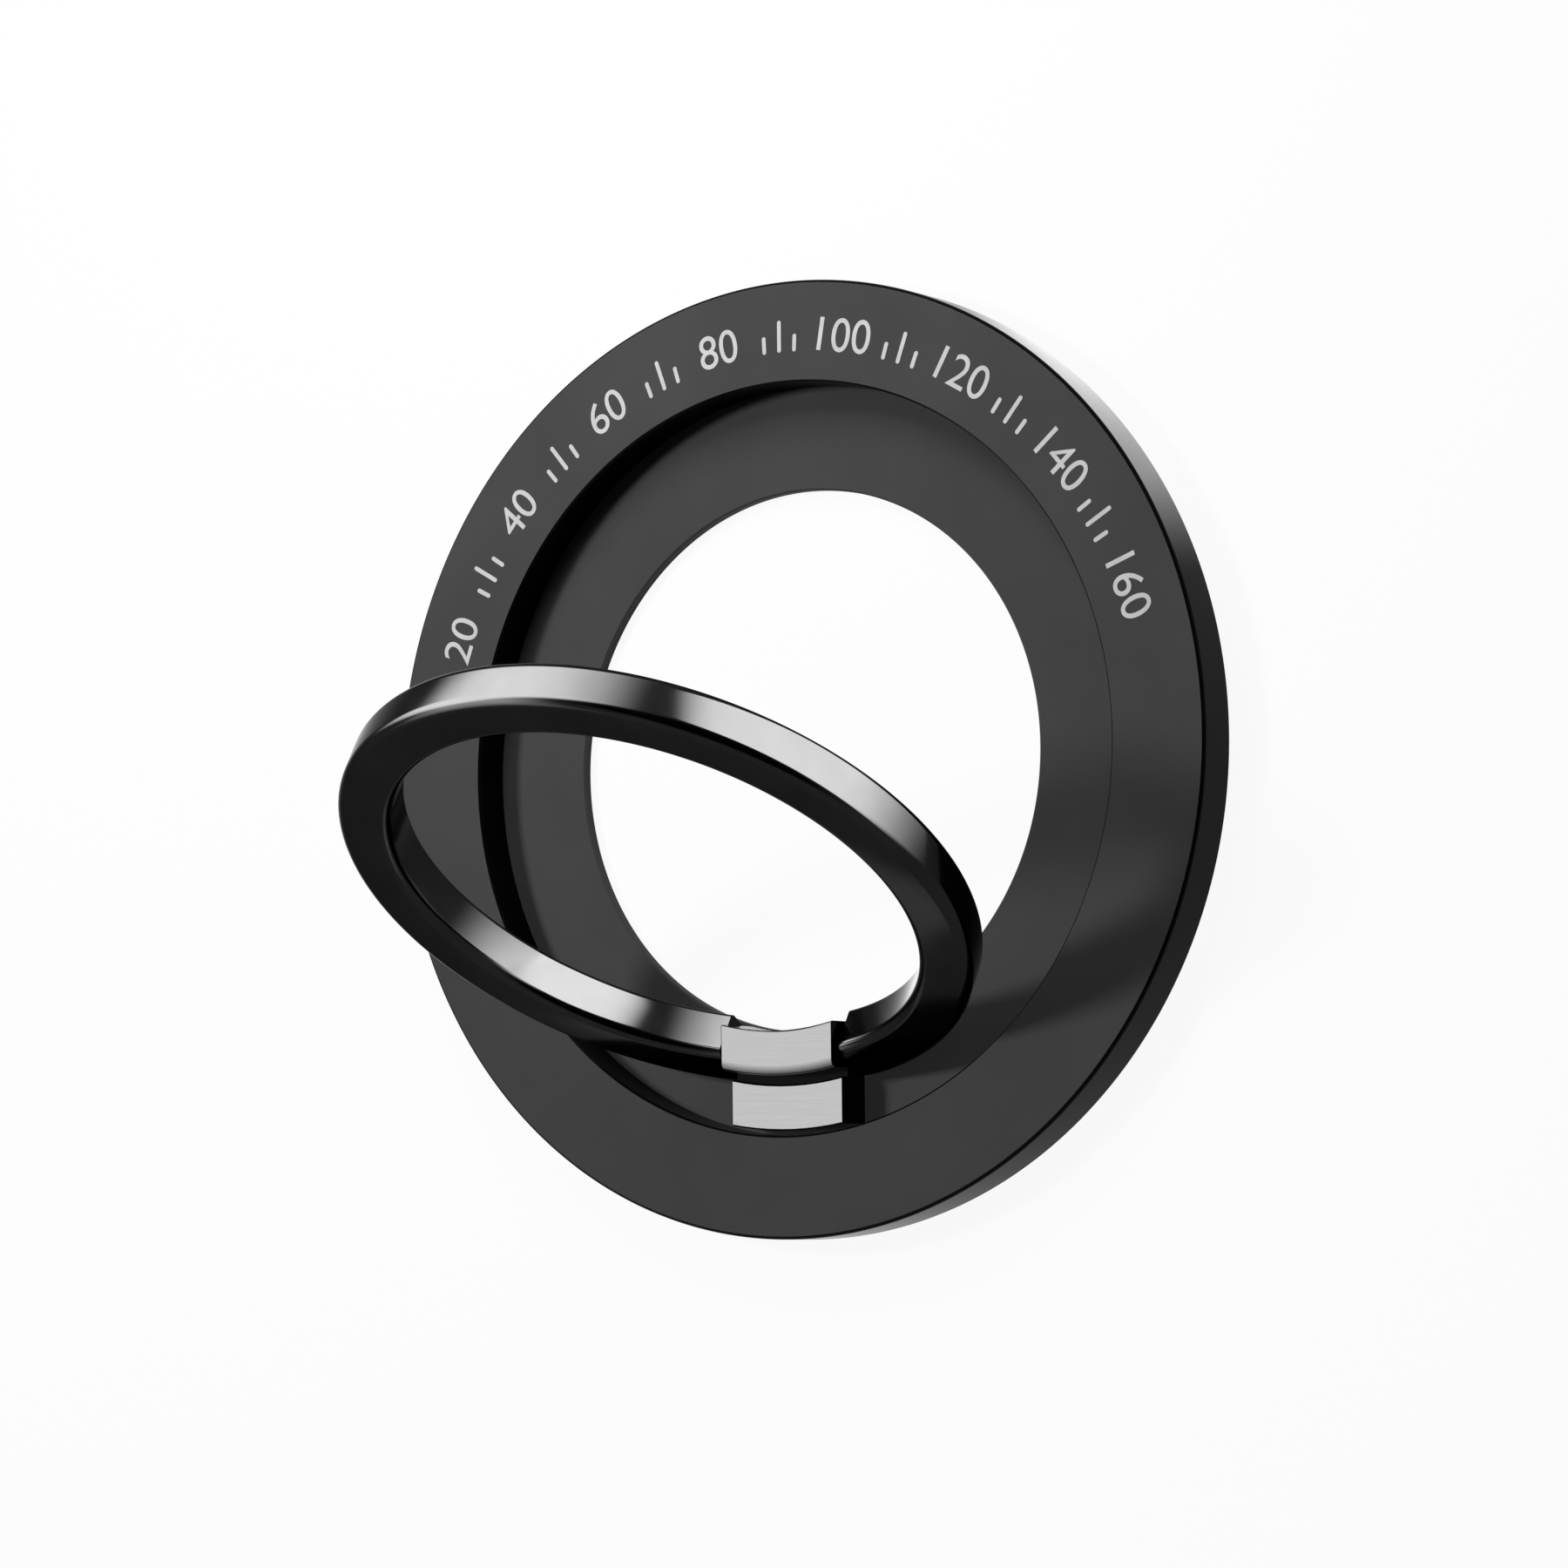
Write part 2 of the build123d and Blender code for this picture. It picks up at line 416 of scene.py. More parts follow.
# Drawn steel rod: bright, with lines along its length.
PIN_STEEL = GroundMetal(
    "drawn_steel_rod", dark="#b4b4b2", light="#c2c2c0", metallic=1.0, smoothest=0.2, roughest=0.3,
    patch_mm=2.0, grain_mm=0.08, grain_height_mm=0.001, lines=Lines.ALONG_X,
)
# Screw steel, thinly blackened and rubbed through: mid grey with a light oily sheen.
SCREW_STEEL = GroundMetal(
    "blackened_screw_steel", dark="#8a8a8c", light="#9a9a9c", metallic=1.0, smoothest=0.3, roughest=0.42,
    patch_mm=0.8, grain_mm=0.1, grain_height_mm=0.001,
)
# Cold-rolled strip steel: mid grey with rolling lines.
YOKE_STEEL = GroundMetal(
    "cold_rolled_steel", dark="#a4a4a6", light="#b2b2b4", metallic=1.0, smoothest=0.32, roughest=0.45,
    patch_mm=5.0, grain_mm=0.2, grain_height_mm=0.002, lines=Lines.ALONG_Y,
)
# Nickel plate on sintered magnets: warm and bright, a little cloudy.
MAGNET_NICKEL = Finish(
    "nickel_plated_magnet", dark="#c4c0b8", light="#d2cec6", metallic=1.0, smoothest=0.16, roughest=0.26,
    patch_mm=2.5, grain_mm=0.25, grain_height_mm=0.001,
)
# Moulded nylon: black and waxy, with a faint mottle.
WASHER_NYLON = Finish(
    "moulded_nylon", dark="#1d1d1e", light="#252526", metallic=0.0, smoothest=0.42, roughest=0.52,
    patch_mm=0.7, grain_mm=0.12, grain_height_mm=0.002,
)
# Moulded silicone rubber: dull charcoal that takes a little dust.
PAD_SILICONE = Finish(
    "moulded_silicone", dark="#2a2a2b", light="#333334", metallic=0.0, smoothest=0.68, roughest=0.82,
    patch_mm=4.0, grain_mm=0.18, grain_height_mm=0.006,
)
# Screen-printed ink: pale grey, thin, with a slightly uneven laydown.
PRINT_INK = Finish(
    "screen_print_ink", dark="#c3c3c3", light="#d2d2d2", metallic=0.0, smoothest=0.5, roughest=0.62,
    patch_mm=1.6, grain_mm=0.2, grain_height_mm=0.002,
)


def clear_selection() -> None:
    """Leaves edit mode and deselects everything."""
    if bpy.context.object and bpy.context.object.mode != "OBJECT":
        bpy.ops.object.mode_set(mode="OBJECT")
    bpy.ops.object.select_all(action="DESELECT")


def make_active(piece: Piece) -> None:
    """Selects one piece alone and makes it the active one."""
    clear_selection()
    piece.select_set(True)
    bpy.context.view_layer.objects.active = piece


def settle(piece: Piece) -> None:
    """Moves a piece's place, turn and scale into its mesh."""
    make_active(piece)
    bpy.ops.object.transform_apply(location=True, rotation=True, scale=True)


def edit_whole(piece: Piece) -> None:
    """Opens a piece in edit mode with its whole mesh selected."""
    make_active(piece)
    bpy.ops.object.mode_set(mode="EDIT")
    bpy.ops.mesh.select_all(action="SELECT")


def deselect_mesh(piece: Piece) -> None:
    """Deselects every point, edge and face of a piece."""
    for part in (*piece.data.vertices, *piece.data.edges, *piece.data.polygons):
        part.select = False


def close_skin(piece: Piece) -> None:
    """Merges doubled points and turns all faces outwards."""
    edit_whole(piece)
    bpy.ops.mesh.remove_doubles(threshold=MERGE_MM * MM)
    bpy.ops.mesh.normals_make_consistent(inside=False)
    bpy.ops.object.mode_set(mode="OBJECT")


def cut_away(piece: Piece, cutter: Piece) -> None:
    """Cuts the form of one piece out of another.

    Args:
        piece: the piece that is cut.
        cutter: the form to take away, which is used up.
    """
    make_active(piece)
    cut = piece.modifiers.new("cut", "BOOLEAN")
    cut.operation = "DIFFERENCE"
    cut.object = cutter
    bpy.ops.object.modifier_apply(modifier=cut.name)
    bpy.data.objects.remove(cutter)


def even_shading(piece: Piece) -> None:
    """Shades a piece smooth, with flat faces kept flat and edges kept sharp."""
    make_active(piece)
    bpy.ops.object.shade_smooth_by_angle(angle=math.radians(SHARP_DEG))
    even = piece.modifiers.new("even_normals", "WEIGHTED_NORMAL")
    even.keep_sharp = True
    bpy.ops.object.modifier_apply(modifier=even.name)


def rounded_outline(corners: dict[tuple[float, float], float], steps: int) -> Piece:
    """Draws a ring's cross-section in the XZ plane.

    Args:
        corners: the round of each corner, by the corner's radius and height.
        steps: faces that make up one round.

    Returns:
        The section, an outline with round corners.
    """
    clear_selection()
    radii = sorted({r for r, _ in corners})
    heights = sorted({z for _, z in corners})
    centre = (sum(radii) / 2, 0.0, sum(heights) / 2)
    bpy.ops.mesh.primitive_plane_add(size=1.0, location=metres(centre), rotation=(QUARTER_TURN, 0.0, 0.0))
    piece = bpy.context.object
    piece.scale = metres((radii[1] - radii[0], heights[1] - heights[0], 1 / MM))
    settle(piece)
    bpy.context.tool_settings.mesh_select_mode = (True, False, False)
    for (r, z), round_r in corners.items():
        deselect_mesh(piece)
        for point in piece.data.vertices:
            point.select = (point.co - metres((r, 0.0, z))).length < TOUCH_MM * MM
        bpy.ops.object.mode_set(mode="EDIT")
        bpy.ops.mesh.bevel(offset=round_r * MM, offset_type="OFFSET", segments=steps, affect="VERTICES")
        bpy.ops.object.mode_set(mode="OBJECT")
    edit_whole(piece)
    bpy.ops.mesh.delete(type="ONLY_FACE")
    bpy.ops.object.mode_set(mode="OBJECT")
    return piece


def coat(piece: Piece, material: bpy.types.Material) -> None:
    """Gives every slot of a piece one material.

    Args:
        piece: new piece or CAD node.
        material: its finish.
    """
    if not piece.material_slots:
        piece.data.materials.append(material)
    for slot in piece.material_slots:
        slot.material = material


@dataclass
class RimScale:
    """Scale of degrees that is printed on the rim's front face."""

    front_z: float = 3.2
    sink: float = 0.01
    film: float = 0.025
    middle_r: float = 24.65
    first_deg: int = 20
    last_deg: int = 160
    figure_step_deg: int = 20
    tick_step_deg: float = 2.5
    figure_height: float = 2.0
    figure_share: float = 0.7
    tick_width: float = 0.26
    tall_tick: float = 1.9
    short_tick: float = 1.05
    round_steps: int = 4

    def tick(self, height: float) -> Piece:
        """Models one tick with round ends, on the X axis.

        Args:
            height: its length along the radius.

        Returns:
            The tick.
        """
        clear_selection()
        inner_r = self.middle_r - self.figure_height / 2 + self.tick_width / 2
        centre = (inner_r + height / 2, 0.0, self.front_z - self.sink)
        bpy.ops.mesh.primitive_plane_add(size=1.0, location=metres(centre))
        piece = bpy.context.object
        piece.scale = metres((height, self.tick_width, 1 / MM))
        settle(piece)
        edit_whole(piece)
        round_r = self.tick_width / 2 * MM
        bpy.ops.mesh.bevel(
            offset=round_r, offset_type="OFFSET", segments=self.round_steps, affect="VERTICES"
        )
        self.thicken()
        close_skin(piece)
        return piece

    def thicken(self) -> None:
        """Raises the selected outline to the thickness of the ink."""
        rise = (0.0, 0.0, (self.sink + self.film) * MM)
        bpy.ops.mesh.extrude_region_move(TRANSFORM_OT_translate={"value": rise})

    def figure(self, value: int, angle_deg: float) -> Piece:
        """Models one number with its head outwards.

        Args:
            value: number to print.
            angle_deg: angle from the X axis.

        Returns:
            The number.
        """
        clear_selection()
        bpy.ops.object.text_add()
        piece = bpy.context.object
        piece.data.body = str(value)
        piece.data.align_x = "CENTER"
        piece.data.align_y = "CENTER"
        piece.data.size = self.figure_height / self.figure_share * MM
        piece.data.extrude = (self.sink + self.film) / 2 * MM
        bpy.ops.object.convert(target="MESH")
        piece = bpy.context.object
        piece.rotation_euler.z = -QUARTER_TURN
        piece.location = metres((self.middle_r, 0.0, self.front_z + (self.film - self.sink) / 2))
        settle(piece)
        piece.rotation_euler.z = math.radians(angle_deg)
        settle(piece)
        close_skin(piece)
        return piece

    def turned(self, pattern: Piece, angle_deg: float) -> Piece:
        """Copies a mark to its angle on the rim.

        Args:
            pattern: mark on the X axis.
            angle_deg: angle from the X axis.

        Returns:
            The copy, with a mesh of its own.
        """
        make_active(pattern)
        bpy.ops.object.duplicate(linked=False)
        piece = bpy.context.object
        piece.rotation_euler.z = math.radians(angle_deg)
        settle(piece)
        return piece

    def build(self) -> Piece:
        """Models the whole scale as one piece.

        Returns:
            The scale, riding on the base.
        """
        tall = self.tick(self.tall_tick)
        short = self.tick(self.short_tick)
        marks = []
        for angle in range(self.first_deg, self.last_deg + 1, self.figure_step_deg):
            marks.append(self.figure(HALF_TURN_DEG - angle, angle))
        for angle in range(self.first_deg, self.last_deg, self.figure_step_deg):
            middle = angle + self.figure_step_deg / 2
            marks.append(self.turned(tall, middle))
            for side in (-1, 1):
                marks.append(self.turned(short, middle + side * self.tick_step_deg))
        for pattern in (tall, short):
            bpy.data.objects.remove(pattern)
        make_active(marks[0])
        for mark in marks:
            mark.select_set(True)
        bpy.ops.object.join()
        scale = bpy.context.object
        scale.name = "rim_scale"
        coat(scale, PRINT_INK.material())
        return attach(scale, "base")


@dataclass
class BackPad:
    """Soft ring between the holder and the phone, with shallow rings in its face."""

    inner_r: float = 22.6
    outer_r: float = 27.4
    thickness: float = 0.4
    edge_round: float = 0.1
    edge_steps: int = 3
    bands: int = 11
    groove_slope: float = 0.05
    groove_depth: float = 0.1
    spin_steps: int = 180
    sharp_deg: float = 35.0

    def cut_bands(self, piece: Piece) -> None:
        """Divides the section's lower edge into bands.

        Args:
            piece: the section.
        """
        points = piece.data.vertices
        deselect_mesh(piece)
        for edge in piece.data.edges:
            ends = [points[index] for index in edge.vertices]
            low = all(end.co.z < TOUCH_MM * MM for end in ends)
            if low and abs(ends[0].co.x - ends[1].co.x) > self.edge_round * MM:
                for part in (edge, *ends):
                    part.select = True
        make_active(piece)
        bpy.ops.object.mode_set(mode="EDIT")
        bpy.ops.mesh.subdivide(number_cuts=self.bands - 1)
        bpy.ops.mesh.select_all(action="SELECT")
        bpy.ops.mesh.spin(steps=self.spin_steps, angle=FULL_TURN, center=(0, 0, 0), axis=(0, 0, 1))
        bpy.ops.object.mode_set(mode="OBJECT")

    def sink_grooves(self, piece: Piece) -> None:
        """Presses every second band into the face.

        Args:
            piece: the closed ring.
        """
        low_r = self.inner_r + self.edge_round
        band = (self.outer_r - self.inner_r - 2 * self.edge_round) / self.bands
        bpy.context.tool_settings.mesh_select_mode = (False, False, True)
        for face in piece.data.polygons:
            r = math.hypot(face.center.x, face.center.y) / MM
            number = math.floor((r - low_r) / band)
            face.select = face.normal.z < -FLAT_NORMAL and 0 <= number < self.bands and number % 2 == 1
        bpy.ops.object.mode_set(mode="EDIT")
        bpy.ops.mesh.inset(thickness=self.groove_slope * MM, depth=-self.groove_depth * MM)
        bpy.ops.object.mode_set(mode="OBJECT")

    def build(self) -> Piece:
        """Models the pad.

        Returns:
            The pad, riding on the base in place of its plain solid.
        """
        edges = {(r, z): self.edge_round for r in (self.inner_r, self.outer_r) for z in (0.0, self.thickness)}
        pad = rounded_outline(edges, self.edge_steps)
        pad.name = "back_pad_skin"
        bpy.context.tool_settings.mesh_select_mode = (False, True, False)
        self.cut_bands(pad)
        close_skin(pad)
        self.sink_grooves(pad)
        make_active(pad)
        bpy.ops.object.shade_smooth_by_angle(angle=math.radians(self.sharp_deg))
        coat(pad, PAD_SILICONE.material())
        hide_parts("back_pad")
        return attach(pad, "base")


@dataclass
class Base:
    """Base casting, modelled anew with clean rounds, and what its rim hides."""

    hole_r: float = 15.9
    recess_r: float = 22.0
    pad_seat_inner_r: float = 22.5
    groove_inner_r: float = 22.9
    groove_outer_r: float = 27.1
    pad_seat_outer_r: float = 27.5
    base_r: float = 28.0
    back_z: float = 0.1
    seat_z: float = 0.4
    floor_z: float = 0.8
    groove_z: float = 2.4
    front_z: float = 3.2
    front_round: float = 0.24
    back_chamfer: float = 0.28
    recess_chamfer: float = 0.12
    hole_chamfer: float = 0.1
    screw_x: float = 2.2
    screw_y: float = -20.375
    screw_head_r: float = 1.05
    screw_head_z: float = 0.15
    screw_shank_r: float = 0.55
    screw_shank_z: float = 0.6
    screw_steps: int = 64
    turn_steps: int = 288
    round_steps: int = 6
    yoke: str = "yoke_ring"
    magnet_prefix: str = "magnet_"

    def section(self) -> list[tuple[float, float]]:
        """Radius and height of each corner, from the hole's back edge round to its front edge."""
        return [
            (self.hole_r, self.back_z),
            (self.pad_seat_inner_r, self.back_z),
            (self.pad_seat_inner_r, self.seat_z),
            (self.groove_inner_r, self.seat_z),
            (self.groove_inner_r, self.groove_z),
            (self.groove_outer_r, self.groove_z),
            (self.groove_outer_r, self.seat_z),
            (self.pad_seat_outer_r, self.seat_z),
            (self.pad_seat_outer_r, self.back_z),
            (self.base_r, self.back_z),
            (self.base_r, self.front_z),
            (self.recess_r, self.front_z),
            (self.recess_r, self.floor_z),
            (self.hole_r, self.floor_z),
        ]

    def soften(self, piece: Piece, corner: tuple[float, float], width: float, steps: int) -> None:
        """Bevels the round edge at one corner of the section.

        Args:
            piece: the casting.
            corner: radius and height of the edge.
            width: width of the bevel.
            steps: one for a chamfer, more for a round.
        """
        make_active(piece)
        bpy.context.tool_settings.mesh_select_mode = (False, True, False)
        on_edge = []
        for point in piece.data.vertices:
            off_r = abs(math.hypot(point.co.x, point.co.y) / MM - corner[0])
            off_z = abs(point.co.z / MM - corner[1])
            on_edge.append(max(off_r, off_z) < TOUCH_MM)
        deselect_mesh(piece)
        for edge in piece.data.edges:
            edge.select = all(on_edge[index] for index in edge.vertices)
        bpy.ops.object.mode_set(mode="EDIT")
        bpy.ops.mesh.bevel(offset=width * MM, offset_type="OFFSET", segments=steps, affect="EDGES")
        bpy.ops.object.mode_set(mode="OBJECT")

    def drill(self, piece: Piece, x: float) -> None:
        """Cuts one countersunk screw hole.

        Args:
            piece: the casting.
            x: the hole's place along the hinge.
        """
        clear_selection()
        place = metres((x, self.screw_y, -self.back_z))
        bpy.ops.mesh.primitive_circle_add(
            vertices=self.screw_steps, radius=self.screw_head_r * MM, fill_type="NGON", location=place
        )
        cutter = bpy.context.object
        settle(cutter)
        edit_whole(cutter)
        head = (self.screw_head_z + self.back_z) * MM
        sink = (self.screw_shank_z - self.screw_head_z) * MM
        shank = self.front_z * MM
        narrow = self.screw_shank_r / self.screw_head_r
        bpy.ops.mesh.extrude_region_move(TRANSFORM_OT_translate={"value": (0.0, 0.0, head)})
        bpy.ops.mesh.extrude_region_move(TRANSFORM_OT_translate={"value": (0.0, 0.0, sink)})
        bpy.ops.transform.resize(value=(narrow, narrow, 1.0))
        bpy.ops.mesh.extrude_region_move(TRANSFORM_OT_translate={"value": (0.0, 0.0, shank)})
        close_skin(cutter)
        cut_away(piece, cutter)

    def turn(self) -> Piece:
        """Draws the section round the axis by extruding one circle from corner to corner.

        Returns:
            The closed casting with sharp edges.
        """
        clear_selection()
        corners = self.section()
        r, z = corners[0]
        bpy.ops.mesh.primitive_circle_add(
            vertices=self.turn_steps, radius=r * MM, fill_type="NOTHING", location=metres((0.0, 0.0, z))
        )
        piece = bpy.context.object
        settle(piece)
        edit_whole(piece)
        for next_r, next_z in [*corners[1:], corners[0]]:
            rise = (0.0, 0.0, (next_z - z) * MM)
            bpy.ops.mesh.extrude_region_move(TRANSFORM_OT_translate={"value": rise})
            bpy.ops.transform.resize(value=(next_r / r, next_r / r, 1.0))
            r, z = next_r, next_z
        close_skin(piece)
        return piece

    def dress_shell(self, piece: Piece) -> None:
        """Coats the faces and the hole's edge dull, and the rim's walls near black as painted shade.

        Args:
            piece: the casting.
        """
        piece.data.materials.append(BASE_COAT.material())
        # The second slot is near black: painted shade on the rim's walls and edge rounds.
        piece.data.materials.append(WALL_SHADE_COAT.material())
        rim_r = (self.hole_r + self.recess_r) / 2 * MM
        for face in piece.data.polygons:
            on_rim = math.hypot(face.center.x, face.center.y) > rim_r
            # Upright faces on the rim take the near-black coat that paints their shade.
            face.material_index = 1 if on_rim and abs(face.normal.z) < FLAT_NORMAL else 0

    def build(self) -> Piece:
        """Models the casting.

        Returns:
            The casting, riding on the base in place of its plain solid.
        """
        shell = self.turn()
        shell.name = "base_casting"
        self.soften(shell, (self.base_r, self.front_z), self.front_round, self.round_steps)
        self.soften(shell, (self.base_r, self.back_z), self.back_chamfer, 1)
        self.soften(shell, (self.recess_r, self.front_z), self.recess_chamfer, 1)
        for z in (self.back_z, self.floor_z):
            self.soften(shell, (self.hole_r, z), self.hole_chamfer, 1)
        for side in (-1, 1):
            self.drill(shell, side * self.screw_x)
        self.dress_shell(shell)
        even_shading(shell)
        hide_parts("base_shell")
        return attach(shell, "base")

    def dress(self, nodes: dict[str, Piece]) -> list[str]:
        """Gives each hidden node its finish.

        Args:
            nodes: the CAD nodes by name.

        Returns:
            The names of the nodes that were dressed.
        """
        magnets = sorted(name for name in nodes if name.startswith(self.magnet_prefix))
        coat(nodes[self.yoke], YOKE_STEEL.material())
        nickel = MAGNET_NICKEL.material()
        for name in magnets:
            coat(nodes[name], nickel)
        return [self.yoke, *magnets]


@dataclass
class Hinge:
    """Hinge block with its pin, washers and screws."""

    block: str = "hinge_block"
    pin: str = "hinge_pin"
    screws: str = "hinge_screws"
    washers: tuple[str, str] = ("friction_washer_left", "friction_washer_right")

    def dress(self, nodes: dict[str, Piece]) -> list[str]:
        """Gives each node its finish.

        Args:
            nodes: the CAD nodes by name.

        Returns:
            The names of the nodes that were dressed.
        """
        coat(nodes[self.block], HINGE_STEEL.material())
        coat(nodes[self.pin], PIN_STEEL.material())
        coat(nodes[self.screws], SCREW_STEEL.material())
        nylon = WASHER_NYLON.material()
        for name in self.washers:
            coat(nodes[name], nylon)
        return [self.block, self.pin, self.screws, *self.washers]


@dataclass
class FingerRing:
    """Plated ring that opens for a finger, modelled anew with clean rounds."""

    inner_r: float = 15.5
    outer_r: float = 18.65
    back_z: float = 0.9
    front_z: float = 3.8
    edge_round: float = 0.6
    inner_back_round: float = 0.3
    round_steps: int = 14
    spin_steps: int = 480
    end_x: float = 4.1
    hinge_y: float = -16.5
    hinge_z: float = 1.99
    foot_r: float = 1.11
    foot_steps: int = 128
    pin_hole_r: float = 0.44
    pin_hole_x: float = 6.15
    pin_hole_steps: int = 48
    open_deg: float = 57.5

    def whole(self) -> Piece:
        """Spins the rounded section into a closed ring that lies flat.

        Returns:
            The ring before its ends are cut.
        """
        edges = {
            (self.inner_r, self.back_z): self.inner_back_round,
            (self.inner_r, self.front_z): self.edge_round,
            (self.outer_r, self.back_z): self.edge_round,
            (self.outer_r, self.front_z): self.edge_round,
        }
        ring = rounded_outline(edges, self.round_steps)
        edit_whole(ring)
        bpy.ops.mesh.spin(steps=self.spin_steps, angle=FULL_TURN, center=(0, 0, 0), axis=(0, 0, 1))
        close_skin(ring)
        return ring

    def box_cutter(self, half_x: float, y_range: tuple[float, float]) -> Piece:
        """Makes a box that reaches through the ring from back to front.

        Args:
            half_x: half its width along the hinge.
            y_range: its lowest and highest place across the hinge.

        Returns:
            The box.
        """
        clear_selection()
        height = self.front_z - self.back_z
        centre = (0.0, sum(y_range) / 2, (self.front_z + self.back_z) / 2)
        bpy.ops.mesh.primitive_cube_add(size=1.0, location=metres(centre))
        box = bpy.context.object
        box.scale = metres((2 * half_x, y_range[1] - y_range[0], 2 * height))
        settle(box)
        return box

    def hinge_circle(self, radius: float, half_x: float, steps: int, fill: str) -> Piece:
        """Draws a circle round the hinge axis, at its low end.

        Args:
            radius: the circle's radius.
            half_x: distance of its plane from the middle.
            steps: its corners.
            fill: Blender's name for the way it is filled.

        Returns:
            The circle.
        """
        clear_selection()
        bpy.ops.mesh.primitive_circle_add(
            vertices=steps,
            radius=radius * MM,
            fill_type=fill,
            location=metres((-half_x, self.hinge_y, self.hinge_z)),
            rotation=(0.0, QUARTER_TURN, 0.0),
        )
        circle = bpy.context.object
        settle(circle)
        return circle

    def draw_out(self, piece: Piece, shifts: list[Point]) -> None:
        """Extrudes a whole outline by one shift after another and closes it.

        Args:
            piece: the outline.
            shifts: the shifts.
        """
        make_active(piece)
        bpy.ops.object.mode_set(mode="EDIT")
        for shift in shifts:
            bpy.ops.mesh.select_all(action="SELECT")
            bpy.ops.mesh.extrude_region_move(TRANSFORM_OT_translate={"value": metres(shift)})
        close_skin(piece)

    def heel_cutter(self) -> Piece:
        """Models what lies outside the round heel, from its quarter arc down and outwards.

        Returns:
            The form to cut away.
        """
        reach = self.outer_r
        arc = self.hinge_circle(self.foot_r, reach, self.foot_steps, "NOTHING")
        bpy.context.tool_settings.mesh_select_mode = (True, False, False)
        deselect_mesh(arc)
        for point in arc.data.vertices:
            inside = point.co.y > (self.hinge_y + TOUCH_MM) * MM
            point.select = inside or point.co.z > (self.hinge_z + TOUCH_MM) * MM
        bpy.ops.object.mode_set(mode="EDIT")
        bpy.ops.mesh.delete(type="VERT")
        drop = self.outer_r - self.inner_r
        self.draw_out(arc, [(0.0, -drop, -drop), (2 * reach, 0.0, 0.0)])
        return arc

    def build(self) -> Piece:
        """Models the ring and turns it open about the hinge.

        Returns:
            The ring, riding on its own body in place of its plain solid.
        """
        ring = self.whole()
        ring.name = "plated_ring"
        width = self.outer_r - self.inner_r
        foot_y = self.hinge_y - self.foot_r
        cut_away(ring, self.box_cutter(self.end_x, (-self.outer_r - width, -self.inner_r + width)))
        cut_away(ring, self.box_cutter(self.outer_r, (foot_y - width, foot_y)))
        cut_away(ring, self.heel_cutter())
        pin_hole = self.hinge_circle(self.pin_hole_r, self.pin_hole_x, self.pin_hole_steps, "NGON")
        self.draw_out(pin_hole, [(2 * self.pin_hole_x, 0.0, 0.0)])
        cut_away(ring, pin_hole)
        pivot = metres((0.0, self.hinge_y, self.hinge_z))
        turn = Matrix.Rotation(math.radians(self.open_deg), 4, "X")
        ring.matrix_world = Matrix.Translation(pivot) @ turn @ Matrix.Translation(-pivot)
        settle(ring)
        even_shading(ring)
        coat(ring, RING_PLATE.material())
        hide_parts("finger_ring")
        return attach(ring, "ring")


def gather(name: str, pieces: tuple[str, ...]) -> bpy.types.Collection:
    """Puts pieces into a collection that a lamp can name.

    Args:
        name: the collection's name.
        pieces: the names of the pieces.

    Returns:
        The collection.
    """
    group = bpy.data.collections.new(name)
    for piece in pieces:
        group.objects.link(bpy.data.objects[piece])
    return group


